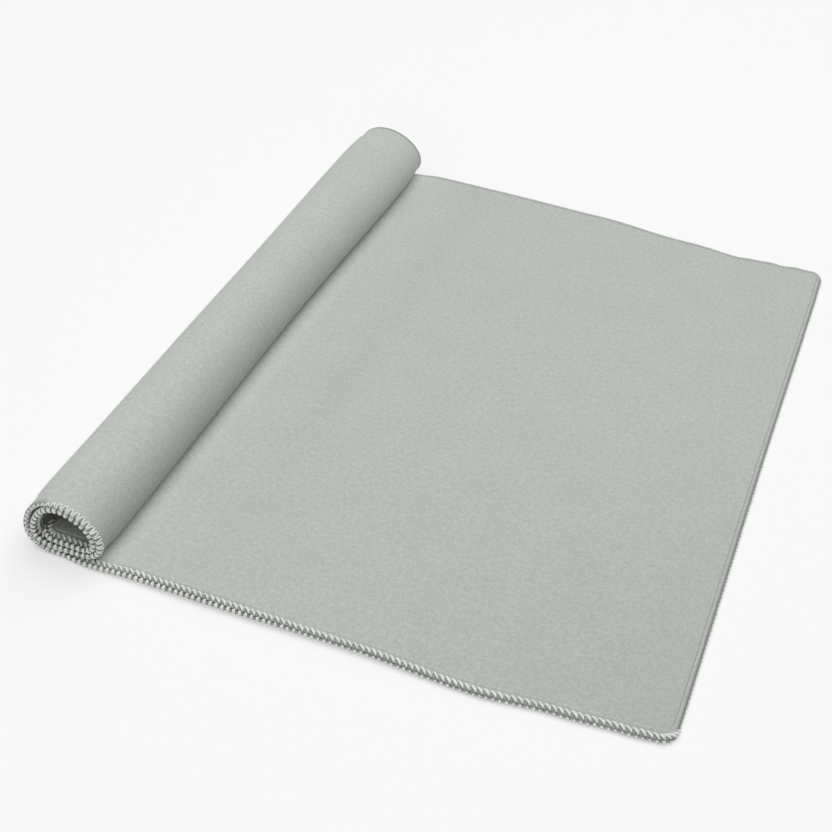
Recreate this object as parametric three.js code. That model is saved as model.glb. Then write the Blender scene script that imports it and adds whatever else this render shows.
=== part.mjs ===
// A small sports towel, rolled up from its left end with the rest lying flat.
//
// The cloth is one piece of thick napped knit, so it is one closed solid: a slab with a rounded
// rim that lies flat, bends up at the roll's foot and winds inwards for a little over two turns.
// Its rim is overcast with thread all round, which is sewing and has no solid of its own.
//
// Millimetres, +Z up. X runs along the cloth's length, with the roll at the low end, and Y runs
// across its width, along the roll. Z is 0 on the surface that the towel lies on. The origin is
// the middle of the towel's footprint.
//
// A place on the cloth is given by three sizes, as if it still lay flat on the cutting table:
// along, from the right edge towards the rolled end; across, from the front edge; and proud,
// up from the middle of its thickness.

import * as THREE from "three";

const CLOTH = {
  length: 495,
  width: 400,
  thickness: 2.4,
  cornerRadius: 7,
  rimRound: 0.7, // how far the faces stop short of the rim, which bulges between them
};

const FLAT_LENGTH = 281.1; // from the right edge to where the cloth begins to bend up

// The outermost turn's middle line at the near end of the roll, going round from the foot:
// how far it is from the crease to the right (x) and from the floor (z), and the step from
// this turn to the next one inside it.
const TURN = [
  { name: "foot", x: -12.0, z: 1.2, step: 3.0 },
  { name: "heel", x: -27.0, z: 1.4, step: 3.3 },
  { name: "lower left", x: -35.4, z: 6.0, step: 3.8 },
  { name: "left", x: -38.0, z: 14.0, step: 4.3 },
  { name: "upper left", x: -35.4, z: 23.4, step: 4.3 },
  { name: "shoulder", x: -28.4, z: 30.6, step: 3.6 },
  { name: "top", x: -18.5, z: 32.8, step: 2.9 },
  { name: "slope", x: -8.5, z: 30.2, step: 2.8 },
  { name: "brow", x: -0.2, z: 24.6, step: 3.0 },
  { name: "right", x: 5.0, z: 16.4, step: 3.3 },
  { name: "crease", x: 4.2, z: 7.6, step: 3.2 },
  { name: "tuck", x: -3.0, z: 2.0, step: 3.0 },
];
const TURN_MIDDLE_X = -16.5; // what the swell to the left and right is measured from

// How the roll swells from its near end to its far end, as shares of the near end's size.
const SWELL = [
  { name: "near rim", across: 0, left: 0.985, right: 0.985, height: 0.975 },
  { name: "near end", across: 24, left: 1.0, right: 1.0, height: 1.0 },
  { name: "middle", across: 200, left: 1.05, right: 0.93, height: 1.03 },
  { name: "far end", across: 370, left: 1.14, right: 1.07, height: 1.03 },
  { name: "far rim", across: 400, left: 1.11, right: 1.03, height: 0.985 },
];

// How the long edges wander from straight: front and back are how far each edge is moved
// towards the back, and the lifts are how far each edge curls up off the floor.
const EDGES = [
  { name: "right edge", along: 0, front: 3.4, back: -2.3, frontLift: 0, backLift: 0 },
  { name: "corners", along: 22, front: 1.6, back: -0.9, frontLift: 0, backLift: 0 },
  { name: "back nick", along: 47, front: -0.1, back: -3.5, frontLift: 0, backLift: 0 },
  { name: "front belly", along: 88, front: -3.6, back: 0.3, frontLift: 0, backLift: 0 },
  { name: "middle", along: 143, front: -1.6, back: 5.2, frontLift: 0.8, backLift: 0.6 },
  { name: "left part", along: 210, front: -2.4, back: 7.4, frontLift: 1.0, backLift: 0.4 },
  { name: "by the crease", along: 250, front: -2.0, back: 7.2, frontLift: 0.8, backLift: 0.8 },
  { name: "under the roll", along: 272, front: -2.6, back: 5.0, frontLift: 0, backLift: 0 },
  { name: "foot of the roll", along: 290, front: -1.0, back: 4.8, frontLift: 0, backLift: 0 },
  { name: "left side", along: 318, front: 0.0, back: 5.4, frontLift: 0, backLift: 0 },
  { name: "over the top", along: 350, front: 0.0, back: 3.7, frontLift: 0, backLift: 0 },
  { name: "second turn", along: 410, front: -0.6, back: 4.4, frontLift: 0, backLift: 0 },
  { name: "inner end", along: 495, front: 0.4, back: 4.0, frontLift: 0, backLift: 0 },
];
const CURL_REACH = 28; // how far in from an edge its lift dies away

const STEPS = {
  alongRim: [0, 0.003, 0.009], // shares of the length next to its right edge
  alongFlat: 16,
  alongRoll: 92,
  acrossRim: [0, 0.006, 0.016, 0.03], // shares of the width next to the front and back edges
  across: 9,
  turnSamples: 320, // points that each turn is measured with
};
const MOST_TURNS = 2.6;

const TOWEL = {
  name: "towel",
  color: "#b6bbb5",
  roughness: 0.95,
  metalness: 0,
};

const smoothStep = (share) => share * share * (3 - 2 * share);

// The row of a table at a place between two of its rows, eased from one to the next.
function rowAt(table, key, place) {
  let next = table.findIndex((row) => row[key] > place);
  if (next < 0) next = table.length - 1;
  next = Math.max(next, 1);
  const low = table[next - 1];
  const high = table[next];
  const share = (place - low[key]) / (high[key] - low[key]);
  const eased = smoothStep(Math.min(Math.max(share, 0), 1));
  const row = {};
  for (const column of Object.keys(low))
    if (column !== "name") row[column] = low[column] + (high[column] - low[column]) * eased;
  return row;
}

// The roll's closed outline at a place across the cloth: a smooth curve whose third
// component carries the step to the next turn.
function outlineAt(across) {
  const swell = rowAt(SWELL, "across", across);
  const bed = CLOTH.thickness / 2;
  return TURN.map(({ x, z, step }) => {
    const out = x - TURN_MIDDLE_X;
    const side = out < 0 ? swell.left : swell.right;
    return new THREE.Vector3(TURN_MIDDLE_X + out * side, bed + (z - bed) * swell.height, step);
  });
}

// A point and direction on a closed outline, after some turns from its first row.
function onOutline(outline, turns) {
  const rows = outline.length;
  const place = (turns % 1) * rows;
  const first = Math.floor(place);
  const share = place - first;
  const [a, b, c, d] = [-1, 0, 1, 2].map((k) => outline[(first + k + rows) % rows]);
  const blend = (p, q, r, s) => {
    const bend = 2 * p - 5 * q + 4 * r - s;
    const twist = -p + 3 * q - 3 * r + s;
    return {
      value: 0.5 * (2 * q + (r - p) * share + bend * share ** 2 + twist * share ** 3),
      slope: 0.5 * (r - p + 2 * bend * share + 3 * twist * share ** 2),
    };
  };
  const x = blend(a.x, b.x, c.x, d.x);
  const z = blend(a.y, b.y, c.y, d.y);
  return { x: x.value, z: z.value, step: blend(a.z, b.z, c.z, d.z).value, dx: x.slope, dz: z.slope };
}

// The middle line of the rolled cloth at a place across it, with the length run so far at
// each point. Every turn lies inside the one before by the outline's step.
function windingAt(across) {
  const outline = outlineAt(across);
  const line = [];
  let run = 0;
  for (let i = 0; i <= MOST_TURNS * STEPS.turnSamples; i++) {
    const turns = i / STEPS.turnSamples;
    const at = onOutline(outline, turns);
    const speed = Math.hypot(at.dx, at.dz);
    const inset = (at.step * turns) / speed;
    const x = at.x + at.dz * inset;
    const z = Math.max(at.z - at.dx * inset, CLOTH.thickness / 2);
    const last = line[line.length - 1];
    if (last) run += Math.hypot(x - last.x, z - last.z);
    line.push({ run, x, z });
  }
  return line;
}

// The middle line's point and up direction at a length from the right edge.
function onMiddleLine(line, along) {
  const rolled = along - FLAT_LENGTH;
  const bend = line[0];
  if (rolled <= 0) return { x: bend.x - rolled, z: bend.z, upX: 0, upZ: 1 };
  let next = line.findIndex((point) => point.run > rolled);
  if (next < 0) next = line.length - 1;
  const low = line[next - 1];
  const high = line[next];
  const share = (rolled - low.run) / (high.run - low.run);
  const [before, after] = [line[Math.max(next - 3, 0)], line[Math.min(next + 2, line.length - 1)]];
  const tilt = new THREE.Vector2(after.z - before.z, before.x - after.x).normalize();
  return {
    x: low.x + (high.x - low.x) * share,
    z: low.z + (high.z - low.z) * share,
    upX: tilt.x,
    upZ: tilt.y,
  };
}

// Where a place on the flat cloth comes to lie. The up direction is towards the roll's core
// once the cloth has bent over.
function place(line, along, across, proud) {
  const at = onMiddleLine(line, along);
  const edges = rowAt(EDGES, "along", along);
  const share = across / CLOTH.width;
  const fade = (gap) => Math.max(0, 1 - gap / CURL_REACH) ** 2;
  const lift = edges.frontLift * fade(across) + edges.backLift * fade(CLOTH.width - across);
  return new THREE.Vector3(
    at.x + at.upX * proud,
    across + edges.front * (1 - share) + edges.back * share,
    at.z + at.upZ * proud + lift,
  );
}

// How far in from the long edges the cloth begins, where its right corners are rounded.
function cornerStart(along, inset) {
  const radius = CLOTH.cornerRadius - inset;
  const gap = Math.min(Math.max(radius - (along - inset), 0), radius);
  return inset + radius - Math.sqrt(radius ** 2 - gap ** 2);
}

// Shares from 0 to 1 with the given ones at the low end and, if asked, mirrored at the high end.
function shares(rim, steps, mirrored) {
  const low = rim[rim.length - 1];
  const high = mirrored ? 1 - low : 1;
  const middle = Array.from({ length: steps }, (_, i) => low + ((high - low) * (i + 1)) / steps);
  const end = mirrored ? rim.slice(0, -1).map((share) => 1 - share).reverse() : [];
  return [...rim, ...middle, ...end];
}

function alongShares() {
  const bend = FLAT_LENGTH / CLOTH.length;
  const flat = shares(STEPS.alongRim.map((share) => share / bend), STEPS.alongFlat, false);
  const roll = Array.from({ length: STEPS.alongRoll }, (_, i) => (i + 1) / STEPS.alongRoll);
  return [...flat.map((share) => share * bend), ...roll.map((share) => bend + (1 - bend) * share)];
}

// The towel's surface: a grid of points over its upper face, one over its lower face, and a
// ring round the middle of its rim.
function towelGeometry() {
  const rows = alongShares();
  const columns = shares(STEPS.acrossRim, STEPS.across, true);
  const lines = columns.map((share) => windingAt(share * CLOTH.width));
  const half = CLOTH.thickness / 2;
  const points = [];

  const pointAt = (row, column, inset, proud) => {
    const along = inset + (CLOTH.length - 2 * inset) * rows[row];
    const start = cornerStart(along, inset);
    const across = start + (CLOTH.width - 2 * start) * columns[column];
    return points.push(place(lines[column], along, across, proud)) - 1;
  };
  const face = (proud) =>
    rows.map((_, row) => columns.map((_, column) => pointAt(row, column, CLOTH.rimRound, proud)));
  const upper = face(half);
  const lower = face(-half);

  const [lastRow, lastColumn] = [rows.length - 1, columns.length - 1];
  const rim = [
    ...columns.map((_, column) => [0, column]),
    ...rows.slice(1).map((_, i) => [i + 1, lastColumn]),
    ...columns.slice(1).map((_, i) => [lastRow, lastColumn - i - 1]),
    ...rows.slice(1, -1).map((_, i) => [lastRow - i - 1, 0]),
  ];
  const ring = rim.map(([row, column]) => pointAt(row, column, 0, 0));

  const faces = [];
  const quad = (a, b, c, d) => faces.push(a, b, c, a, c, d);
  for (let i = 0; i < lastRow; i++)
    for (let j = 0; j < lastColumn; j++) {
      quad(upper[i][j], upper[i][j + 1], upper[i + 1][j + 1], upper[i + 1][j]);
      quad(lower[i][j], lower[i + 1][j], lower[i + 1][j + 1], lower[i][j + 1]);
    }
  rim.forEach(([row, column], i) => {
    const [nextRow, nextColumn] = rim[(i + 1) % rim.length];
    const next = ring[(i + 1) % rim.length];
    quad(ring[i], next, upper[nextRow][nextColumn], upper[row][column]);
    quad(lower[row][column], lower[nextRow][nextColumn], next, ring[i]);
  });

  const geometry = new THREE.BufferGeometry().setFromPoints(points).setIndex(faces);
  geometry.computeVertexNormals();
  return geometry;
}

const finish = { color: TOWEL.color, roughness: TOWEL.roughness, metalness: TOWEL.metalness };
const towel = new THREE.Mesh(towelGeometry(), new THREE.MeshStandardMaterial(finish));
towel.name = TOWEL.name;

// The footprint's middle comes to the origin.
const middle = new THREE.Box3().setFromObject(towel).getCenter(new THREE.Vector3());
towel.position.set(-middle.x, -middle.y, 0);

const group = new THREE.Group();
group.add(towel);

export default group;
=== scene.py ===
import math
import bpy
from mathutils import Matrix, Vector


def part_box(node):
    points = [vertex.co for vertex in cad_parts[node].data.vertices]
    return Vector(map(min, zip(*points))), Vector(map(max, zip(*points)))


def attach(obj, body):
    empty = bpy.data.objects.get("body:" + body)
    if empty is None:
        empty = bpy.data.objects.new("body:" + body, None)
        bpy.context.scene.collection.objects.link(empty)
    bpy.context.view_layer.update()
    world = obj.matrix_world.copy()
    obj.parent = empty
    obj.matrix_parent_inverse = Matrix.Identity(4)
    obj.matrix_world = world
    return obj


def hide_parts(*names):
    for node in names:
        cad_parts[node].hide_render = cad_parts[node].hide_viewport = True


bl_info = {
    "name": "Rolled sports towel",
    "version": (1, 0, 0),
    "blender": (4, 5, 0),
    "location": "3D View > Sidebar > Towel",
    "description": "Lays a small overcast towel on a pale floor, rolled up from one end",
    "category": "Add Mesh",
}

# The towel is made as it would be in a workroom: the cloth is cut flat, its rim is overcast with
# three threads, and only then is it laid down and rolled up. So each piece is first worked out
# on the flat cloth, and one set of rules says where each place on it comes to lie.
#
# A place on the flat cloth is given in millimetres: along, from the right edge towards the
# rolled end; across, from the front edge; and proud, up from the middle of its thickness.
# The tables below are in millimetres too. The sizes in the panel are in metres.

import bpy
import numpy as np
from mathutils import Matrix, Vector

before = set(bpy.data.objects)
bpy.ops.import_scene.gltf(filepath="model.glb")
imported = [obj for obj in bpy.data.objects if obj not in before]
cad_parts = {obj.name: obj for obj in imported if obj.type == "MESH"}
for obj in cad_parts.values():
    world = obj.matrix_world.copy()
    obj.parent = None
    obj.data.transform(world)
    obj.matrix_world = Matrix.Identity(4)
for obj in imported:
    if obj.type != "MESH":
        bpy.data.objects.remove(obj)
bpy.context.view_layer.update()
CLOTH_LOW, CLOTH_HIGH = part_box("towel")
BODY = "root"

MM = 0.001
FLAT_LENGTH = 281.1  # from the right edge to where the cloth begins to bend up

# The outermost turn's middle line at the near end of the roll, going round from the foot:
# x from the crease to the right, z from the floor, and the step to the next turn inside it.
TURN = {
    "foot": (-12.0, 1.2, 3.0),
    "heel": (-27.0, 1.4, 3.3),
    "lower left": (-35.4, 6.0, 3.8),
    "left": (-38.0, 14.0, 4.3),
    "upper left": (-35.4, 23.4, 4.3),
    "shoulder": (-28.4, 30.6, 3.6),
    "top": (-18.5, 32.8, 2.9),
    "slope": (-8.5, 30.2, 2.8),
    "brow": (-0.2, 24.6, 3.0),
    "right": (5.0, 16.4, 3.3),
    "crease": (4.2, 7.6, 3.2),
    "tuck": (-3.0, 2.0, 3.0),
}
TURN_MIDDLE_X = -16.5  # the roll swells to both sides from here
MOST_TURNS = 2.6  # how many turns are worked out, more than the cloth makes
TURN_SAMPLES = 320  # places worked out in each turn
RUN_SPARE = 8  # how far past the cloth's end its lie is worked out

# How the roll swells from its near end to its far end: the share of the width, and then the
# size to the left, to the right and upwards, as shares of the near end's.
SWELL = {
    "near rim": (0.0, 0.985, 0.985, 0.975),
    "near end": (0.06, 1.0, 1.0, 1.0),
    "middle": (0.5, 1.05, 0.93, 1.03),
    "far end": (0.925, 1.14, 1.07, 1.03),
    "far rim": (1.0, 1.11, 1.03, 0.985),
}
SWELL_STATIONS = 81  # sections that the roll is worked out in, from end to end

# How the long edges wander: the place along the cloth, how far the front and the back edge are
# moved towards the back, and how far each of them curls up off the floor.
EDGES = {
    "right edge": (0, 3.4, -2.3, 0, 0),
    "corners": (22, 1.6, -0.9, 0, 0),
    "back nick": (47, -0.1, -3.5, 0, 0),
    "front belly": (88, -3.6, 0.3, 0, 0),
    "middle": (143, -1.6, 5.2, 0.8, 0.6),
    "left part": (210, -2.4, 7.4, 1.0, 0.4),
    "by the crease": (250, -2.0, 7.2, 0.8, 0.8),
    "under the roll": (272, -2.6, 5.0, 0, 0),
    "foot of the roll": (290, -1.0, 4.8, 0, 0),
    "left side": (318, 0.0, 5.4, 0, 0),
    "over the top": (350, 0.0, 3.7, 0, 0),
    "second turn": (410, -0.6, 4.4, 0, 0),
    "inner end": (495, 0.4, 4.0, 0, 0),
}
FRONT_MOST = min(row[1] for row in EDGES.values())  # how far forward the front edge comes
CURL_REACH = 28.0  # how far in from an edge its curl dies away
FRONT_REACH = 12.0  # how far round the corners the front edge's stitching reaches

# The ripples in the back edge by its right corner: their length, how far they move the edge,
# and how far they lift it.
RIPPLES = {
    "long": (33.0, 0.6, 0.35),
    "short": (14.0, 0.25, 0.15),
}
RIPPLES_END = 95.0  # how far from the corner they have died away

# Where the flat part lies a little off the floor: the middle of each swell along and across the
# cloth, how far it reaches both ways, and its height.
LOW_SWELLS = {
    "beside the streak": (238, 210, 17, 185, 0.7),
    "middle": (150, 140, 60, 85, 0.55),
    "front right": (48, 62, 46, 44, 0.6),
    "back": (112, 325, 52, 62, 0.6),
    "right": (34, 228, 32, 95, 0.45),
}

# How far the overcasting has slid round the rim, from the cloth's top face towards its
# underside: the place along the cloth, and the slide on the front edge and on the other edges.
# In the roll the underside faces outwards.
SLIDE = {
    "right end": (0, 1.3, 5.5),
    "corner": (12, 1.3, 5.5),
    "belly": (150, 1.3, 5.5),
    "middle": (185, 0.6, 5.5),
    "left part": (215, 0.1, 5.5),
    "crease": (262, 0.0, 5.5),
    "foot of the roll": (284, 0.2, 3.0),
    "heel": (302, -2.6, -4.0),
    "left side": (330, -2.6, -4.0),
    "shoulder": (348, 0.3, -4.0),
    "third turn": (470, 0.3, -4.0),
    "inner end": (490, 0.3, 5.5),
}
SEAM_SHARE = 0.95  # the seam thread's share of the slide
SEAM_DEPTH = 7.2  # how far in from the rim the seam thread runs
# Between these places round the rim the slide changes to the seam thread's.
SEAM_SLIDES = (5.7, 6.6)
# Where the edging slides towards the underside, the thread's ends there stay put: it is held at
# the first place round the rim, and slides fully from the second on.
HELD_BELOW = (-3.6, -0.4)

# The cloth's section near its rim, where the threads squeeze it.
RIM = {
    "middle": 0.2,  # how far the middle of the rim is lifted
    "half": 0.85,  # half the rim's thickness
    "open from": 4.6,  # the depth where the squeeze begins to let go
    "open at": 8.0,  # the depth where the cloth has its full thickness
    "groove at": 2.1,  # the gap between the top stitches and the edge stitches
    "groove width": 1.2,
    "groove depth": 0.85,
    "seam dip": 0.06,  # the dip that the seam thread lies in
    "seam width": 0.7,
}

# The paths of the three threads through one stitch: in stitch lengths along the rim, in
# millimetres round the rim's section from its outermost point, in millimetres clear of the
# cloth, and how thick the thread is there, as a share.
TOP_THREAD = {
    "head": (0.0, 5.5, -0.2, 1.0),
    "out of the head": (0.16, 5.3, 0.3, 1.2),
    "back of the stroke": (0.42, 4.7, 0.42, 1.35),
    "stroke": (0.7, 3.95, 0.42, 1.3),
    "front of the stroke": (0.95, 3.25, 0.35, 1.15),
    "dive": (1.03, 2.85, -0.2, 0.8),
    "under the loop": (0.93, 2.35, -0.7, 0.7),
    "through the loop": (0.7, 2.5, -0.7, 0.7),
    "return": (0.8, 4.2, -0.2, 0.75),
    "up to the head": (0.93, 5.3, -0.25, 0.8),
}
EDGE_THREAD = {
    "head below": (0.06, -2.8, -0.1, 0.9),
    "out below": (0.42, -2.2, 0.22, 1.0),
    "left of the rim": (0.62, -1.3, 0.3, 1.0),
    "left leg": (0.65, 0.0, 0.3, 0.95),
    "left shoulder": (0.65, 1.1, 0.36, 0.95),
    "left of the bow": (0.68, 1.65, 0.34, 0.85),
    "bow": (0.77, 1.9, 0.25, 0.8),
    "right of the bow": (0.87, 1.65, 0.34, 0.85),
    "right shoulder": (0.91, 1.1, 0.36, 0.95),
    "right leg": (0.91, 0.0, 0.3, 0.95),
    "right of the rim": (0.95, -1.3, 0.3, 1.0),
    "back below": (1.0, -2.2, 0.22, 1.0),
    "down below": (1.02, -2.75, -0.1, 0.9),
}
SEAM_THREAD = {
    "down": (0.0, 7.65, -0.25, 0.9),
    "rise": (0.15, 7.68, -0.02, 1.0),
    "over": (0.5, 7.7, 0.07, 1.1),
    "fall": (0.85, 7.68, -0.02, 1.0),
}

# How unevenly the threads are drawn in: along the rim in stitch lengths, round its section in
# millimetres, and in thickness.
UNEVEN = (0.025, 0.07, 0.06)

# Painted shade on the nap by the edging, as shares of that in the gap beside the top stitches.
UNDER_STITCHES = 0.35  # between the top stitches
STITCHES_FROM = (1.5, 2.5)  # where that dark comes in, measured from the rim before any slide
STITCHES_TO = (5.0, 6.0)  # where it dies away
CUT_EDGE = 0.5  # painted shade at the cut edge
CUT_EDGE_CORE = 0.4  # how far in from the rim the cut edge is darkest
STITCHED_EDGE = 1.4  # how far in from the rim the painted shade at the cut edge reaches, under stitches
BARE_EDGE = 1.6  # how far it reaches where the stitches have slid under the cloth
BARE_SLIDE = (3.0, 4.0)  # the slides from covered to bare
ROLL_EDGE = 4.2  # how far it reaches where they have slid into the roll
ROLL_SLIDE = (-1.6, -2.6)  # the slides from covered to bare there
SEAM_LINE = 0.3  # painted shadow beside the seam thread
SEAM_LINE_WIDTH = 0.7
SEAM_LINE_INSET = 0.5  # how much further in than the thread that line is darkest
PAINTED_GAP_LIGHT = 0.03  # how light the nap is in the gap, as a share of the open nap

# How much of that painted shade shows at the front edge: the place along the cloth, and the share.
GAPS_SEEN = {
    "right edge": (0, 0.45),
    "belly": (150, 0.6),
    "left part": (215, 1.0),
    "crease": (262, 1.0),
    "under the roll": (284, 0.85),
    "left side": (312, 1.0),
    "over the top": (345, 0.6),
    "roll's right side": (390, 0.6),
    "second turn": (420, 0.95),
}

# The rows of the cloth's net near the rim, by their distance from it, and the gaps between the
# rows further in: along the flat part, along the rolled part, and across.
RIM_ROWS = (
    0.0, 0.12, 0.35, 0.7, 1.1, 1.6, 2.1, 2.6, 3.2, 3.9,
    4.7, 5.5, 6.3, 6.9, 7.4, 7.9, 8.4, 8.9, 9.8, 12.5,
)
FLAT_ROW_GAP = 3.6
ROLL_ROW_GAP = 1.9
ACROSS_ROW_GAP = 3.4

# The nap's mottling: about how many grains it has in a metre; its detail and its roughness; the
# range of the noise that is used; and the darkest and lightest shade that it gives.
NAP_MOTTLES = {
    "fibres": (1100.0, 3.0, 0.6, 0.25, 0.75, 0.84, 1.15),
    "tufts": (400.0, 3.0, 0.65, 0.3, 0.7, 0.92, 1.08),
    "brushing": (38.0, 3.0, 0.55, 0.3, 0.7, 0.98, 1.018),
}
NAP_FINISH = {
    "Roughness": 0.96,
    "Specular IOR Level": 0.15,
    "Sheen Weight": 0.12,
    "Sheen Roughness": 0.6,
}
NAP_RELIEF = 0.8  # the share of its relief that shows

# Painted light and shade on the nap: the place along the cloth, and how light it is there.
# It is painted lightest in the crease, where the roll shades the flat.
PAINTED_LIGHT_ALONG = {
    "right edge": (0, 0.99),
    "flat": (60, 1.0),
    "before the streak": (205, 1.0),
    "streak": (222, 0.975),
    "after the streak": (240, 1.01),
    "by the crease": (254, 1.03),
    "in the crease": (266, 1.42),
    "under the roll": (285, 1.05),
    "over the top": (345, 1.06),
    "roll's right side": (370, 0.96),
    "inside": (400, 1.0),
}
PAINTED_LIGHT_TOP = max(light for place, light in PAINTED_LIGHT_ALONG.values())
# Painted shade: the nap is darker towards the front right corner.
CORNER_SHADE = 0.91
CORNER_REACH = 0.22  # in metres, which the materials work in
# Painted light and shade on the roll's right side: darker at the near end, lighter at the far end.
ROLL_SIDE = (0.348, 0.366)  # where that side begins along the cloth, in metres
ROLL_SIDE_SHADE = 0.12

# The thread's mottling, as for the nap.
THREAD_MOTTLES = {
    "crimp": (1700.0, 2.0, 0.6, 0.25, 0.75, 0.76, 1.16),
    "wear": (120.0, 2.0, 0.5, 0.3, 0.7, 0.94, 1.04),
}
THREAD_FINISH = {
    "Roughness": 0.8,
    "Specular IOR Level": 0.25,
    "Sheen Weight": 0.15,
    "Sheen Roughness": 0.5,
}
THREAD_RELIEF = 0.7  # the share of its relief that shows
CRIMP_DEPTH = 0.0001  # the depth of that relief in metres

# Painted shade on a thread's sides that face its neighbours and the cloth.
FLANK_SHADE = 0.3
OUTER_SIDE = (-1.0, 0.75)  # how far a side faces outwards where it is darkest and lightest
SUNK_SHADE = 2.2  # how much darker it is for each millimetre that it is sunk

# The floor, in metres.
FLOOR_SIZE = 30.0
FLOOR_GAP = 0.0002  # keeps the floor just clear of the cloth's underside
FLOOR_FINISH = {
    "Roughness": 0.9,
    "Specular IOR Level": 0.0,
    "Emission Color": (1, 1, 1, 1),
}

# The soft lamps: where each stands in metres, its width, and its share of the lamps' power.
LAMPS = {
    "top_lamp": (0.0, 0.0, 2.2, 3.2, 0.78),
    "back_lamp": (0.0, 1.9, 1.3, 1.6, 0.12),
    "front_lamp": (0.0, -1.9, 1.3, 1.6, 0.1),
}

# The camera's place in metres, its turns in degrees, and its lens and the width of its sensor
# in millimetres.
CAMERA_PLACE = (0.1748, -0.6170, 0.4799)
CAMERA_DOWN = 38.03
CAMERA_LEFT = 18.65
CAMERA_TILT = 3.84
CAMERA_LENS = 64.3
CAMERA_SENSOR = 36
CAMERA_NEAR = 0.02  # metres, nearer than any part of the towel


def metres(name, default, description):
    """A size in metres that the panel shows."""
    return bpy.props.FloatProperty(
        name=name,
        description=description,
        default=default,
        min=0.0,
        precision=4,
        unit="LENGTH",
    )


def colour(name, default, description):
    """A colour that the panel shows."""
    return bpy.props.FloatVectorProperty(
        name=name,
        description=description,
        default=default,
        min=0.0,
        max=1.0,
        size=3,
        subtype="COLOR",
    )


class TowelClothSettings(bpy.types.PropertyGroup):
    length: metres("Length", 0.495, "Length that the cloth is cut to, rolled part included")
    width: metres("Width", 0.4, "Width that the cloth is cut to, along the roll")
    thickness: metres("Thickness", 0.0024, "Thickness of the cloth with its nap")
    corner_radius: metres("Corner radius", 0.007, "Radius that the corners are cut to")
    nap_colour: colour("Nap", (0.43, 0.455, 0.424), "Colour of the cloth's nap")
    nap_depth: metres("Nap relief", 0.00012, "Height of the relief in the nap")


class TowelEdgingSettings(bpy.types.PropertyGroup):
    stitch_length: metres("Stitch length", 0.0029, "Distance between stitches along the rim")
    looper_thickness: metres("Overcast thread", 0.00105, "Thickness of the two overcasting threads")
    seam_thickness: metres("Seam thread", 0.0005, "Thickness of the thread sewn through the cloth")
    thread_colour: colour("Thread", (0.74, 0.765, 0.73), "Colour of the overcasting threads")
    seam_colour: colour("Seam", (0.58, 0.605, 0.57), "Colour of the seam thread")


class TowelStageSettings(bpy.types.PropertyGroup):
    floor_colour: colour("Floor", (0.5, 0.5, 0.5), "Colour of the floor, a plate lit from below")
    floor_glow: bpy.props.FloatProperty(
        name="Floor glow",
        description="Strength of the light that comes up through the floor",
        default=0.395,
        min=0.0,
        max=1.0,
        subtype="FACTOR",
    )
    room_light: bpy.props.FloatProperty(
        name="Room light",
        description="Strength of the even light from all round",
        default=0.3,
        min=0.0,
        max=1.0,
        subtype="FACTOR",
    )
    lamp_power: bpy.props.FloatProperty(
        name="Lamps",
        description="Power of the soft lamps together",
        default=69.0,
        min=0.0,
        unit="POWER",
    )


def eased(low, high, value):
    """From 0 at low to 1 at high, eased at both ends."""
    share = np.clip((value - low) / (high - low), 0, 1)
    return share * share * (3 - 2 * share)


def eased_rows(table, places):
    """A table's columns at some places, eased from row to row. Its first column is the place."""
    rows = np.array(list(table.values()), float)
    places = np.asarray(places, float)
    low = np.searchsorted(rows[:, 0], places, side="right") - 1
    low = np.clip(low, 0, len(rows) - 2)
    share = eased(rows[low, 0], rows[low + 1, 0], places)[..., None]
    return rows[low, 1:] * (1 - share) + rows[low + 1, 1:] * share


def hump(middle, width, value):
    """From 1 at the middle to 0 a width away from it."""
    return 1 - eased(0, width, np.abs(value - middle))


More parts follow.
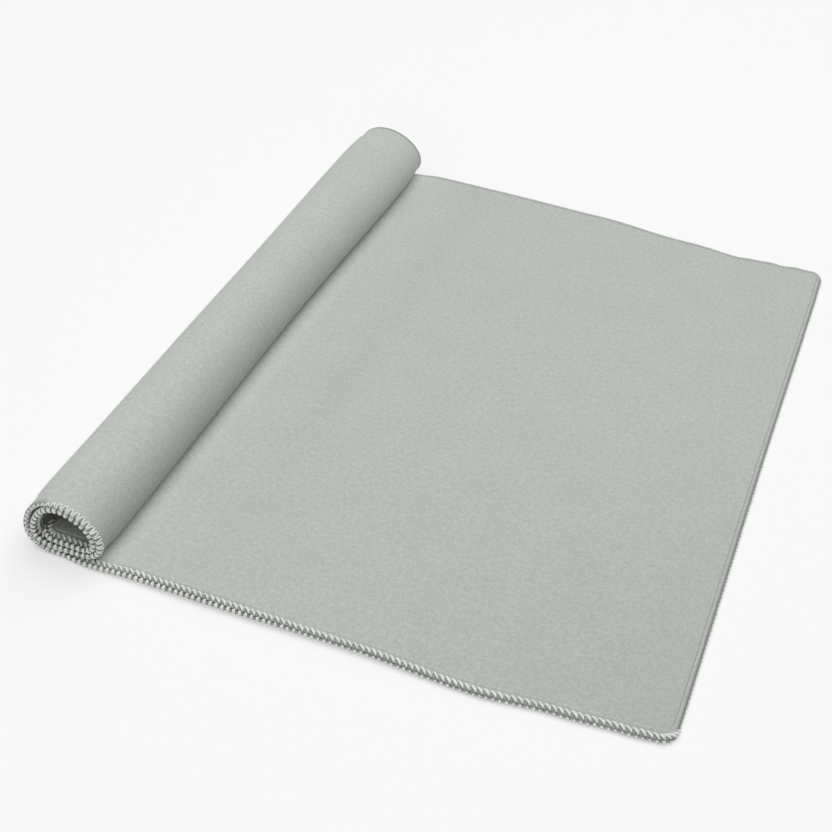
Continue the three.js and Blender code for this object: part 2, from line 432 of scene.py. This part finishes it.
class Lie:
    """How the finished cloth lies: from places on the flat cloth to places in the room."""

    def __init__(self, cloth):
        self.length = cloth.length / MM
        self.width = cloth.width / MM
        self.half = cloth.thickness / MM / 2
        self.radius = cloth.corner_radius / MM
        lines = [self.winding(station) for station in np.linspace(0, 1, SWELL_STATIONS)]
        self.runs = np.arange(0, self.length - FLAT_LENGTH + RUN_SPARE)
        self.last_run = len(self.runs) - 1.001  # just short of the last of them
        self.wound = np.array(
            [[np.interp(self.runs, line[0], column) for column in line[1:]] for line in lines]
        )
        right = TURN["foot"][0] + FLAT_LENGTH
        self.shift_x = CLOTH_HIGH[0] / MM - right
        self.shift_y = CLOTH_LOW[1] / MM - FRONT_MOST

    def winding(self, station):
        """The roll's middle line at a share of the width: run, x, z, and which way is up."""
        left, right, height = eased_rows(SWELL, station)
        rows = np.array(list(TURN.values()), float)
        out = rows[:, 0] - TURN_MIDDLE_X
        rows[:, 0] = TURN_MIDDLE_X + np.where(out < 0, out * left, out * right)
        rows[:, 1] = self.half + (rows[:, 1] - self.half) * height
        turns = np.arange(int(MOST_TURNS * TURN_SAMPLES) + 1) / TURN_SAMPLES
        place = (turns % 1) * len(rows)
        first = np.floor(place).astype(int)
        share = (place - first)[:, None]
        # The curve passes through every row, and leaves it the way that it came in.
        before, here, after, later = (rows[(first + k) % len(rows)] for k in (-1, 0, 1, 2))
        bend = 2 * before - 5 * here + 4 * after - later
        twist = -before + 3 * here - 3 * after + later
        value = here + 0.5 * ((after - before) * share + bend * share**2 + twist * share**3)
        slope = 0.5 * (after - before + 2 * bend * share + 3 * twist * share**2)
        inset = value[:, 2] * turns / np.hypot(slope[:, 0], slope[:, 1])
        x = value[:, 0] + slope[:, 1] * inset
        z = np.maximum(value[:, 1] - slope[:, 0] * inset, self.half)
        run = np.concatenate([[0], np.cumsum(np.hypot(np.diff(x), np.diff(z)))])
        step_x = np.gradient(x)
        step_z = np.gradient(z)
        step = np.hypot(step_x, step_z)
        return run, x, z, step_z / step, -step_x / step

    def place(self, along, across, proud):
        """Where places on the flat cloth come to lie, in metres."""
        along, across, proud = np.broadcast_arrays(along, across, proud)
        share = np.clip(across / self.width, 0, 1)
        station = share * (SWELL_STATIONS - 1)
        near = np.minimum(station.astype(int), SWELL_STATIONS - 2)
        far_part = (station - near)[..., None]
        rolled = along - FLAT_LENGTH
        run = np.clip(rolled, 0, self.last_run)
        before = run.astype(int)
        after_part = (run - before)[..., None]

        def at(stations):
            low = self.wound[stations, :, before]
            high = self.wound[stations, :, before + 1]
            return low * (1 - after_part) + high * after_part

        x, z, up_x, up_z = np.moveaxis(at(near) * (1 - far_part) + at(near + 1) * far_part, -1, 0)
        flat = rolled <= 0
        x = np.where(flat, x - rolled, x)
        up_x = np.where(flat, 0, up_x)
        up_z = np.where(flat, 1, up_z)
        front, back, front_lift, back_lift = np.moveaxis(eased_rows(EDGES, along), -1, 0)
        front_fade = np.maximum(0, 1 - across / CURL_REACH) ** 2
        back_fade = np.maximum(0, 1 - (self.width - across) / CURL_REACH) ** 2
        lift = front_lift * front_fade + back_lift * back_fade
        for middle_along, middle_across, reach_along, reach_across, height in LOW_SWELLS.values():
            swell = hump(middle_along, reach_along, along) * hump(middle_across, reach_across, across)
            lift = lift + height * swell
        back_fade = back_fade * eased(RIPPLES_END, 0, along)
        for length, sideways, upwards in RIPPLES.values():
            ripple = np.sin(along * 2 * math.pi / length) * back_fade
            back = back + sideways * ripple
            lift = lift + upwards * (ripple + back_fade)
        y = across + front * (1 - share) + back * share
        spots = np.stack(
            [
                x + up_x * proud + self.shift_x,
                y + self.shift_y,
                np.maximum(z + up_z * proud + lift, 0),
            ],
            axis=-1,
        )
        return spots * MM

    def depth(self, along, across):
        """How far places on the flat cloth are from its rim."""
        side = np.abs(along - self.length / 2) - self.length / 2 + self.radius
        end = np.abs(across - self.width / 2) - self.width / 2 + self.radius
        round_corner = np.hypot(np.maximum(side, 0), np.maximum(end, 0))
        return self.radius - round_corner - np.minimum(np.maximum(side, end), 0)

    def corner_start(self, along):
        """How far in from the long edges the cloth begins, where its corners are rounded."""
        from_end = np.minimum(along, self.length - along)
        gap = np.clip(self.radius - from_end, 0, self.radius)
        return self.radius - np.sqrt(self.radius**2 - gap**2)

    def slide(self, along, across):
        """How far the overcasting has slid outwards at the nearest part of the rim."""
        near_front = hump(0, FRONT_REACH, across)
        front, other = np.moveaxis(eased_rows(SLIDE, along), -1, 0)
        return front * near_front + other * (1 - near_front)

    def face(self, depth, slide, upper):
        """How far a face of the cloth is from the middle of its thickness, near the rim."""
        rounding = np.sqrt(1 - (1 - np.clip(depth / RIM["half"], 0, 1)) ** 2)
        squeezed = np.where(upper, 1, -1) * RIM["half"] * rounding + RIM["middle"]
        full = np.where(upper, 1, -1) * self.half
        seam_depth = SEAM_DEPTH - slide * SEAM_SHARE
        let_go = eased(RIM["open from"] - slide, RIM["open at"] - slide, depth)
        face = squeezed * (1 - let_go) + full * let_go
        groove = RIM["groove depth"] * hump(RIM["groove at"], RIM["groove width"], depth + slide)
        seam = RIM["seam dip"] * hump(seam_depth, RIM["seam width"], depth)
        return face - np.where(upper, groove * rounding + seam, 0)

    def round_rim(self, round_by, clear, slide):
        """Depth and height of thread that lies some way round the rim's section."""
        bend = RIM["half"] * math.pi / 2
        angle = np.clip(round_by, -bend, bend) / RIM["half"]
        beyond = np.maximum(np.abs(round_by) - bend, 0)
        depth = RIM["half"] + beyond
        upper = round_by > 0
        let_go = eased(RIM["open from"] - slide, RIM["open at"] - slide, depth)
        squeezed = np.where(upper, 1, -1) * RIM["half"] + RIM["middle"]
        full = np.where(upper, 1, -1) * self.half
        level = squeezed * (1 - let_go) + full * let_go + np.where(upper, clear, -clear)
        reach = RIM["half"] + clear
        turned = beyond == 0
        depth = np.where(turned, RIM["half"] - reach * np.cos(angle), depth)
        height = np.where(turned, RIM["middle"] + reach * np.sin(angle), level)
        return depth, height

    def rim_length(self):
        """How long the rim is, all the way round."""
        straight = 2 * (self.length + self.width) - 8 * self.radius
        return straight + 2 * math.pi * self.radius

    def on_rim(self, run):
        """Places round the rim, from the front edge's left end to the right, and the way in."""
        sides = (
            (self.length - 2 * self.radius, (self.length - self.radius, 0), (-1, 0)),
            (self.width - 2 * self.radius, (0, self.radius), (0, 1)),
            (self.length - 2 * self.radius, (self.radius, self.width), (1, 0)),
            (self.width - 2 * self.radius, (self.length, self.width - self.radius), (0, -1)),
        )
        quarter = self.radius * math.pi / 2
        along, across, in_along, in_across = (np.zeros_like(run) for _ in range(4))
        start = 0.0
        for length, first, way in sides:
            inward = (way[1], -way[0])
            on_side = (run >= start) & (run < start + length)
            far = run[on_side] - start
            along[on_side] = first[0] + way[0] * far
            across[on_side] = first[1] + way[1] * far
            in_along[on_side] = inward[0]
            in_across[on_side] = inward[1]
            start += length
            corner = (run >= start) & (run < start + quarter)
            angle = (run[corner] - start) / self.radius
            end_along = first[0] + way[0] * length
            end_across = first[1] + way[1] * length
            centre_along = end_along + inward[0] * self.radius
            centre_across = end_across + inward[1] * self.radius
            in_along[corner] = inward[0] * np.cos(angle) - way[0] * np.sin(angle)
            in_across[corner] = inward[1] * np.cos(angle) - way[1] * np.sin(angle)
            along[corner] = centre_along - in_along[corner] * self.radius
            across[corner] = centre_across - in_across[corner] * self.radius
            start += quarter
        return along, across, in_along, in_across


def finished(name, material):
    """Names the active object, gives it its material and smooth faces, and puts it in the frame."""
    piece = bpy.context.view_layer.objects.active
    piece.name = name
    piece.data.name = name
    piece.data.materials.clear()
    piece.data.materials.append(material)
    bpy.ops.object.shade_smooth()
    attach(piece, BODY)
    return piece


def ramp(nodes, links, value, low, high, dark, light):
    """A value between two limits, turned into a share between two others."""
    node = nodes.new("ShaderNodeMapRange")
    node.inputs["From Min"].default_value = low
    node.inputs["From Max"].default_value = high
    node.inputs["To Min"].default_value = dark
    node.inputs["To Max"].default_value = light
    links.new(value, node.inputs["Value"])
    return node.outputs["Result"]


def combined(nodes, links, operation, total, *others):
    """Values added together, or multiplied by one another."""
    for other in others:
        node = nodes.new("ShaderNodeMath")
        node.operation = operation
        links.new(total, node.inputs[0])
        links.new(other, node.inputs[1])
        total = node.outputs["Value"]
    return total


def mottled(nodes, links, coordinates, row):
    """Noise on some coordinates, and the shade that it gives, by a row of a mottling table."""
    scale, detail, roughness, low, high, dark, light = row
    node = nodes.new("ShaderNodeTexNoise")
    node.inputs["Scale"].default_value = scale
    node.inputs["Detail"].default_value = detail
    node.inputs["Roughness"].default_value = roughness
    links.new(coordinates, node.inputs["Vector"])
    noise = node.outputs["Fac"]
    return noise, ramp(nodes, links, noise, low, high, dark, light)


def marked(nodes, name):
    """What the piece's attribute of this name says."""
    node = nodes.new("ShaderNodeAttribute")
    node.attribute_name = name
    return node.outputs["Fac"]


def tinted(nodes, links, base, shade):
    """The base colour, darkened by a share."""
    node = nodes.new("ShaderNodeVectorMath")
    node.operation = "SCALE"
    node.inputs[0].default_value = base
    links.new(shade, node.inputs["Scale"])
    return node.outputs["Vector"]


def stand_out(nodes, links, shader, height, share, depth):
    """Gives a surface a relief, by its height, the share of it that shows, and its depth."""
    node = nodes.new("ShaderNodeBump")
    node.inputs["Strength"].default_value = share
    node.inputs["Distance"].default_value = depth
    links.new(height, node.inputs["Height"])
    links.new(node.outputs["Normal"], shader.inputs["Normal"])


def new_material(name, finish):
    """A material with its finish set, its nodes and links, and its shader."""
    material = bpy.data.materials.new(name)
    material.use_nodes = True
    nodes = material.node_tree.nodes
    shader = nodes["Principled BSDF"]
    for socket, value in finish.items():
        shader.inputs[socket].default_value = value
    return material, nodes, material.node_tree.links, shader


def painted_light_and_shade(nodes, links, places):
    """Painted light and shade on the nap, by places on the flat cloth."""
    split = nodes.new("ShaderNodeSeparateXYZ")
    links.new(places, split.inputs["Vector"])
    along = split.outputs["X"]
    across = split.outputs["Y"]
    band = nodes.new("ShaderNodeValToRGB")
    band.color_ramp.interpolation = "EASE"
    stops = band.color_ramp.elements
    while len(stops) < len(PAINTED_LIGHT_ALONG):
        stops.new(1.0)
    for stop, (place, light) in zip(stops, PAINTED_LIGHT_ALONG.values()):
        stop.position = place * MM
        stop.color = [light / PAINTED_LIGHT_TOP] * 3 + [1]
    links.new(along, band.inputs["Fac"])
    rolled = ramp(nodes, links, band.outputs["Color"], 0.0, 1.0, 0.0, PAINTED_LIGHT_TOP)
    near_right = ramp(nodes, links, along, 0.0, CORNER_REACH, 1.0, 0.0)
    near_front = ramp(nodes, links, across, 0.0, CORNER_REACH, 1.0, 0.0)
    corner = combined(nodes, links, "MULTIPLY", near_right, near_front)
    corner_shade = ramp(nodes, links, corner, 0.0, 1.0, 1.0, CORNER_SHADE)
    on_side = ramp(nodes, links, along, *ROLL_SIDE, 0.0, ROLL_SIDE_SHADE)
    to_far_end = ramp(nodes, links, across, 0.0, CLOTH_HIGH[1] - CLOTH_LOW[1], -1.0, 1.0)
    side = combined(nodes, links, "MULTIPLY", on_side, to_far_end)
    side_shade = ramp(nodes, links, side, -1.0, 1.0, 0.0, 2.0)
    return combined(nodes, links, "MULTIPLY", rolled, corner_shade, side_shade)


def nap_material(cloth):
    """Short dense nap, brushed a little unevenly, with light and shade painted into its colour."""
    material, nodes, links, shader = new_material("napped cloth", NAP_FINISH)
    flat_cloth = nodes.new("ShaderNodeUVMap")
    flat_cloth.uv_map = "flat cloth"
    places = flat_cloth.outputs["UV"]
    fibres, fibre_shade = mottled(nodes, links, places, NAP_MOTTLES["fibres"])
    tufts, tuft_shade = mottled(nodes, links, places, NAP_MOTTLES["tufts"])
    brushing_shade = mottled(nodes, links, places, NAP_MOTTLES["brushing"])[1]
    # Painted shade by the edging.
    painted_gap_shade = ramp(nodes, links, marked(nodes, "painted_shade"), 0.0, 1.0, 1.0, PAINTED_GAP_LIGHT)
    shades = (fibre_shade, tuft_shade, brushing_shade, painted_gap_shade)
    shade = combined(nodes, links, "MULTIPLY", *shades, painted_light_and_shade(nodes, links, places))
    links.new(tinted(nodes, links, cloth.nap_colour, shade), shader.inputs["Base Color"])
    height = combined(nodes, links, "ADD", fibres, tufts)
    stand_out(nodes, links, shader, height, NAP_RELIEF, cloth.nap_depth)
    return material


def thread_material(name, base):
    """Soft crimped thread, with painted shade on its flanks and where it is sunk."""
    material, nodes, links, shader = new_material(name, THREAD_FINISH)
    places = nodes.new("ShaderNodeTexCoord").outputs["Object"]
    crimp, crimp_shade = mottled(nodes, links, places, THREAD_MOTTLES["crimp"])
    wear_shade = mottled(nodes, links, places, THREAD_MOTTLES["wear"])[1]
    facing = marked(nodes, "outer side")
    # Painted shade on the thread's flanks and where it is sunk.
    flank_shade = ramp(nodes, links, facing, *OUTER_SIDE, FLANK_SHADE, 1.0)
    shade = combined(nodes, links, "MULTIPLY", crimp_shade, wear_shade, flank_shade)
    links.new(tinted(nodes, links, base, shade), shader.inputs["Base Color"])
    stand_out(nodes, links, shader, crimp, THREAD_RELIEF, CRIMP_DEPTH)
    return material


def rows_between(low, high, gap):
    """Even rows between two others, about a gap apart."""
    count = max(1, round((high - low) / gap))
    return list(np.linspace(low, high, count + 1)[1:-1])


def net_rows(lie):
    """Distances of the cloth net's rows from the right edge and from the front edge."""
    rim = list(RIM_ROWS)
    reach = rim[-1]
    far_rim = [lie.length - row for row in reversed(rim)]
    flat = rows_between(reach, FLAT_LENGTH, FLAT_ROW_GAP)
    rolled = rows_between(FLAT_LENGTH, lie.length - reach, ROLL_ROW_GAP)
    along = rim + flat + [FLAT_LENGTH] + rolled + far_rim
    back_rim = [lie.width - row for row in reversed(rim)]
    across = rim + rows_between(reach, lie.width - reach, ACROSS_ROW_GAP) + back_rim
    return np.array(along), np.array(across)


def read(items, name, size):
    """A value of every item, such as every vertex's place."""
    values = np.empty(len(items) * size, np.float32)
    items.foreach_get(name, values)
    return values.reshape(-1, size).astype(float)


def cut_cloth(lie):
    """A flat net of the cloth with two faces and a rim, and its flat shape as a UV map."""
    along_rows, across_rows = net_rows(lie)
    steps_x = len(along_rows) - 1
    steps_y = len(across_rows) - 1
    bpy.ops.object.select_all(action="DESELECT")
    bpy.ops.mesh.primitive_grid_add(x_subdivisions=steps_x, y_subdivisions=steps_y, size=1)
    cloth = bpy.context.object
    mesh = cloth.data
    # The grid comes one metre wide with even rows, round its middle.
    spots = read(mesh.vertices, "co", 3)
    column = np.rint((0.5 - spots[:, 0]) * steps_x).astype(int)
    row = np.rint((spots[:, 1] + 0.5) * steps_y).astype(int)
    along = along_rows[column]
    start = lie.corner_start(along)
    across = start + (lie.width - 2 * start) * across_rows[row] / lie.width
    spots = np.stack([-along * MM, across * MM, np.zeros_like(along)], axis=-1)
    mesh.vertices.foreach_set("co", spots.astype(np.float32).ravel())
    corners = np.empty(len(mesh.loops), np.int32)
    mesh.loops.foreach_get("vertex_index", corners)
    flat = mesh.uv_layers.active or mesh.uv_layers.new()
    flat.name = "flat cloth"
    flat_places = np.stack([along * MM, across * MM], axis=-1)[corners]
    flat.data.foreach_set("uv", flat_places.astype(np.float32).ravel())
    solid = cloth.modifiers.new("two faces", "SOLIDIFY")
    solid.thickness = 2 * lie.half * MM
    solid.offset = 0
    bpy.ops.object.modifier_apply(modifier=solid.name)
    return cloth


def lay_cloth(cloth, lie):
    """Squeezes the flat cloth's rim, lays and rolls it, and marks the shade painted by the edging."""
    mesh = cloth.data
    spots = read(mesh.vertices, "co", 3)
    along = -spots[:, 0] / MM
    across = spots[:, 1] / MM
    upper = spots[:, 2] > 0
    depth = np.maximum(lie.depth(along, across), 0)
    slide = lie.slide(along, across)
    proud = lie.face(depth, slide, upper)
    laid = lie.place(along, across, proud)
    mesh.vertices.foreach_set("co", laid.astype(np.float32).ravel())
    # Shade painted on the nap by the edging.
    painted_shade = mesh.attributes.new("painted_shade", "FLOAT", "POINT")
    dark = painted_edge_shade(along, across, depth, slide, upper)
    painted_shade.data.foreach_set("value", dark.astype(np.float32))
    mesh.update()


def painted_edge_shade(along, across, depth, slide, upper):
    """How much shade is painted on the nap by the edging and at the cut edge, from 0 to 1."""
    from_start = depth + slide
    groove = hump(RIM["groove at"], RIM["groove width"], from_start)
    under_stitches = eased(*STITCHES_FROM, from_start) * (1 - eased(*STITCHES_TO, from_start))
    shade = np.maximum(groove, UNDER_STITCHES * under_stitches) * upper
    reach = STITCHED_EDGE + (BARE_EDGE - STITCHED_EDGE) * eased(*BARE_SLIDE, slide)
    reach = reach + (ROLL_EDGE - STITCHED_EDGE) * eased(*ROLL_SLIDE, slide)
    cut_edge = CUT_EDGE * (1 - eased(CUT_EDGE_CORE, reach, depth))
    seam_depth = SEAM_DEPTH + SEAM_LINE_INSET - slide * SEAM_SHARE
    seam_line = SEAM_LINE * hump(seam_depth, SEAM_LINE_WIDTH, depth) * upper
    unseen = (1 - eased_rows(GAPS_SEEN, along)[:, 0]) * hump(0, FRONT_REACH, across)
    return np.maximum(np.maximum(shade, cut_edge) * (1 - unseen), seam_line)


class OBJECT_OT_towel_cloth(bpy.types.Operator):
    """Cuts the cloth, squeezes its rim, and lays it down with its left part rolled up"""

    bl_idname = "object.towel_cloth"
    bl_label = "Cloth"
    bl_options = {"REGISTER", "UNDO"}

    def execute(self, context):
        settings = context.scene.towel_cloth
        lie = Lie(settings)
        cloth = cut_cloth(lie)
        lay_cloth(cloth, lie)
        finished("cloth", nap_material(settings))
        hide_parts("towel")
        return {"FINISHED"}


def thread_run(stitch, lie, stitch_length):
    """A thread's places round the whole rim, the way outwards, how far sunk, and how thick."""
    count = round(lie.rim_length() / stitch_length)
    path = np.array(list(stitch.values()), float)
    numbers = np.repeat(np.arange(count), len(path))
    # The number of places in a stitch also seeds the thread's own unevenness.
    drift = np.random.default_rng(len(path)).normal(0, 1, (count, len(UNEVEN))) * UNEVEN
    ahead, inwards, thicker = drift[numbers].T
    turns = np.tile(path[:, 0], count) + ahead
    run = ((numbers + turns) * lie.rim_length() / count) % lie.rim_length()
    along, across, in_along, in_across = lie.on_rim(run)
    slide = lie.slide(along, across)
    round_by = np.tile(path[:, 1], count) + inwards
    share = np.where(slide < 0, 1, eased(*HELD_BELOW, round_by))
    share = share - (1 - SEAM_SHARE) * eased(*SEAM_SLIDES, round_by)
    round_by = round_by - slide * share
    clear = np.tile(path[:, 2], count)

    def laid(clear):
        depth, height = lie.round_rim(round_by, clear, slide)
        return lie.place(along + in_along * depth, across + in_across * depth, height)

    spots = laid(clear)
    outwards = laid(clear + 1) - spots
    return spots, outwards, np.maximum(-clear, 0), np.tile(path[:, 3], count) * (1 + thicker)


def sew(name, stitch, thickness, lie, stitch_length, material):
    """One endless thread round the whole rim, which takes the same path in every stitch."""
    spots, outwards, sunk, radii = thread_run(stitch, lie, stitch_length)
    bpy.ops.object.select_all(action="DESELECT")
    bpy.ops.curve.primitive_nurbs_circle_add()
    curve = bpy.context.object.data
    curve.splines.clear()
    spline = curve.splines.new("NURBS")
    spline.points.add(len(spots) - 1)
    weighted = np.concatenate([spots, np.ones((len(spots), 1))], axis=1)
    spline.points.foreach_set("co", weighted.astype(np.float32).ravel())
    spline.points.foreach_set("radius", radii.astype(np.float32))
    spline.use_cyclic_u = True
    # One ring of six sides for each place keeps the many stitches light.
    spline.order_u = 3
    curve.resolution_u = 1
    curve.bevel_depth = thickness / 2
    curve.bevel_resolution = 1
    bpy.ops.object.convert(target="MESH")
    thread = bpy.context.object
    mark_outer_side(thread, outwards, sunk)
    lift_off_floor(thread)
    return finished(name, material)


def mark_outer_side(thread, outwards, sunk):
    """Marks how far each side of a thread faces away from the cloth, less where it is sunk."""
    mesh = thread.data
    rings = read(mesh.vertices, "co", 3).reshape(len(outwards), -1, 3)
    centres = rings.mean(axis=1, keepdims=True)
    # Each ring of the thread lies between two places of its path.
    outwards = outwards + np.roll(outwards, -1, axis=0)
    sunk = (sunk + np.roll(sunk, -1)) / 2
    from_core = rings - centres
    from_core /= np.linalg.norm(from_core, axis=2, keepdims=True)
    outwards = outwards / np.linalg.norm(outwards, axis=1, keepdims=True)
    facing = (from_core * outwards[:, None, :]).sum(axis=2) - SUNK_SHADE * sunk[:, None]
    outer_side = mesh.attributes.new("outer side", "FLOAT", "POINT")
    outer_side.data.foreach_set("value", facing.astype(np.float32).ravel())


def lift_off_floor(piece):
    """Presses what would reach below the floor flat on it, as the cloth's weight does."""
    mesh = piece.data
    spots = read(mesh.vertices, "co", 3)
    spots[:, 2] = np.maximum(spots[:, 2], 0)
    mesh.vertices.foreach_set("co", spots.astype(np.float32).ravel())
    mesh.update()


class OBJECT_OT_towel_edging(bpy.types.Operator):
    bl_idname = "object.towel_edging"
    bl_label = "Edging"
    bl_options = {"REGISTER", "UNDO"}

    def execute(self, context):
        edging = context.scene.towel_edging
        settings = context.scene.towel_cloth
        lie = Lie(settings)
        fluffy = thread_material("crimped thread", edging.thread_colour)
        twisted = thread_material("seam thread", edging.seam_colour)
        loopers = edging.looper_thickness
        length = edging.stitch_length / MM
        threads = [
            sew("top_thread", TOP_THREAD, loopers, lie, length, fluffy),
            sew("edge_thread", EDGE_THREAD, loopers, lie, length, fluffy),
            sew("seam_thread", SEAM_THREAD, edging.seam_thickness, lie, length, twisted),
        ]
        return {"FINISHED"}


class OBJECT_OT_towel_stage(bpy.types.Operator):
    """Sets up the pale floor, the soft light from above and the camera"""

    bl_idname = "object.towel_stage"
    bl_label = "Floor, light and camera"
    bl_options = {"REGISTER", "UNDO"}

    def execute(self, context):
        stage = context.scene.towel_stage
        lay_floor(stage)
        hang_lights(context.scene, stage)
        stand_camera(context.scene)
        return {"FINISHED"}


def lay_floor(stage):
    """A wide pale plate just below the towel, lit from below."""
    bpy.ops.object.select_all(action="DESELECT")
    bpy.ops.mesh.primitive_plane_add(size=FLOOR_SIZE, location=(0, 0, -FLOOR_GAP))
    floor = bpy.context.object
    floor.name = "floor"
    material, nodes, links, shader = new_material("pale floor", FLOOR_FINISH)
    shader.inputs["Base Color"].default_value = (*stage.floor_colour, 1)
    shader.inputs["Emission Strength"].default_value = stage.floor_glow
    floor.data.materials.append(material)


def hang_lights(scene, stage):
    """Even light from all round, and soft lamps that point at the towel."""
    world = bpy.data.worlds.new("room")
    world.use_nodes = True
    background = world.node_tree.nodes["Background"]
    background.inputs["Color"].default_value = (1, 1, 1, 1)
    background.inputs["Strength"].default_value = stage.room_light
    scene.world = world
    for name, (x, y, z, width, share) in LAMPS.items():
        bpy.ops.object.select_all(action="DESELECT")
        bpy.ops.object.light_add(type="AREA", location=(x, y, z))
        lamp = bpy.context.object
        lamp.name = name
        lamp.data.size = width
        lamp.data.energy = stage.lamp_power * share
        lamp.rotation_euler = Vector((x, y, z)).to_track_quat("Z", "Y").to_euler()
    scene.view_settings.view_transform = "Standard"


def stand_camera(scene):
    """The camera that sees the whole towel from its front right."""
    bpy.ops.object.select_all(action="DESELECT")
    bpy.ops.object.camera_add()
    camera = bpy.context.object
    camera.name = "camera"
    camera.data.lens = CAMERA_LENS
    camera.data.sensor_width = CAMERA_SENSOR
    camera.data.clip_start = CAMERA_NEAR
    camera.matrix_world = (
        Matrix.Translation(CAMERA_PLACE)
        @ Matrix.Rotation(math.radians(CAMERA_LEFT), 4, "Z")
        @ Matrix.Rotation(math.radians(90 - CAMERA_DOWN), 4, "X")
        @ Matrix.Rotation(math.radians(CAMERA_TILT), 4, "Z")
    )
    scene.camera = camera


PANEL_PARTS = (
    ("towel_cloth", OBJECT_OT_towel_cloth.bl_idname),
    ("towel_edging", OBJECT_OT_towel_edging.bl_idname),
    ("towel_stage", OBJECT_OT_towel_stage.bl_idname),
)


class VIEW3D_PT_towel(bpy.types.Panel):
    """Sizes, colours and steps of the rolled towel"""

    bl_idname = "VIEW3D_PT_towel"
    bl_label = "Rolled sports towel"
    bl_space_type = "VIEW_3D"
    bl_region_type = "UI"
    bl_category = "Towel"

    def draw(self, context):
        layout = self.layout
        for settings, operator in PANEL_PARTS:
            box = layout.box()
            group = getattr(context.scene, settings)
            for name in group.__annotations__:
                box.prop(group, name)
            box.operator(operator)


SETTINGS = {
    "towel_cloth": TowelClothSettings,
    "towel_edging": TowelEdgingSettings,
    "towel_stage": TowelStageSettings,
}

CLASSES = (
    *SETTINGS.values(),
    OBJECT_OT_towel_cloth,
    OBJECT_OT_towel_edging,
    OBJECT_OT_towel_stage,
    VIEW3D_PT_towel,
)


def register():
    for made in CLASSES:
        bpy.utils.register_class(made)
    for name, group in SETTINGS.items():
        setattr(bpy.types.Scene, name, bpy.props.PointerProperty(type=group))


def unregister():
    for name in SETTINGS:
        delattr(bpy.types.Scene, name)
    for made in reversed(CLASSES):
        bpy.utils.unregister_class(made)


def main():
    """Makes the towel and its stage."""
    register()
    bpy.ops.object.towel_cloth()
    bpy.ops.object.towel_edging()
    bpy.ops.object.towel_stage()


if __name__ == "__main__":
    main()
